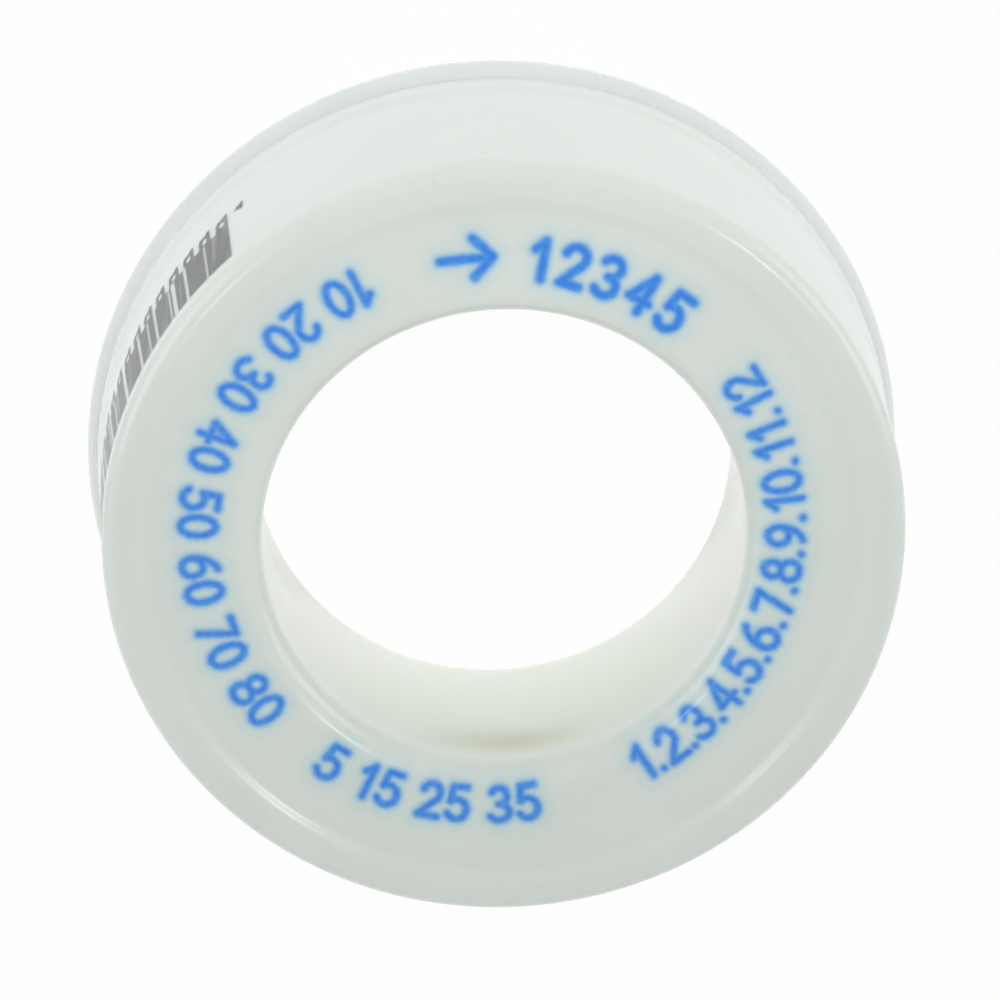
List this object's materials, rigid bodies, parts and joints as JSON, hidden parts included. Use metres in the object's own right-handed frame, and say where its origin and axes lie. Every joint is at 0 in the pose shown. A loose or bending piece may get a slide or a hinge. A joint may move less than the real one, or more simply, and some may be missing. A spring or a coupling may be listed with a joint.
{
  "type": "thread seal tape roll",
  "caption": "Ring-shaped plastic spool of thread seal tape: a printed cover snaps over a turning reel, and the soft white film leaves through a slot in the wall.",
  "frame": {"origin": "on the roll's axis, at the back rim that it lies on", "axes": "+Z along the roll's axis, out of the printed face; the tape's slot faces -Y"},
  "size_m": [0.0474, 0.0474, 0.0164],
  "materials": {
    "cover_plastic": "white moulded plastic, satin gloss, blue print",
    "reel_plastic": "white moulded plastic, satin gloss",
    "tape_film": "soft white film, waxy matte"
  },
  "bodies": {
    "cover": {"cover_shell": "cover_plastic", "tape_lead": "tape_film"},
    "turning_reel": {"reel": "reel_plastic", "tape_winding": "tape_film"}
  },
  "joints": [
    {"name": "reel_spin", "type": "hinge", "parent": "cover", "child": "turning_reel", "pos_m": [0, 0, 0.0078], "axis": [0, 0, 1], "continuous": true}
  ]
}
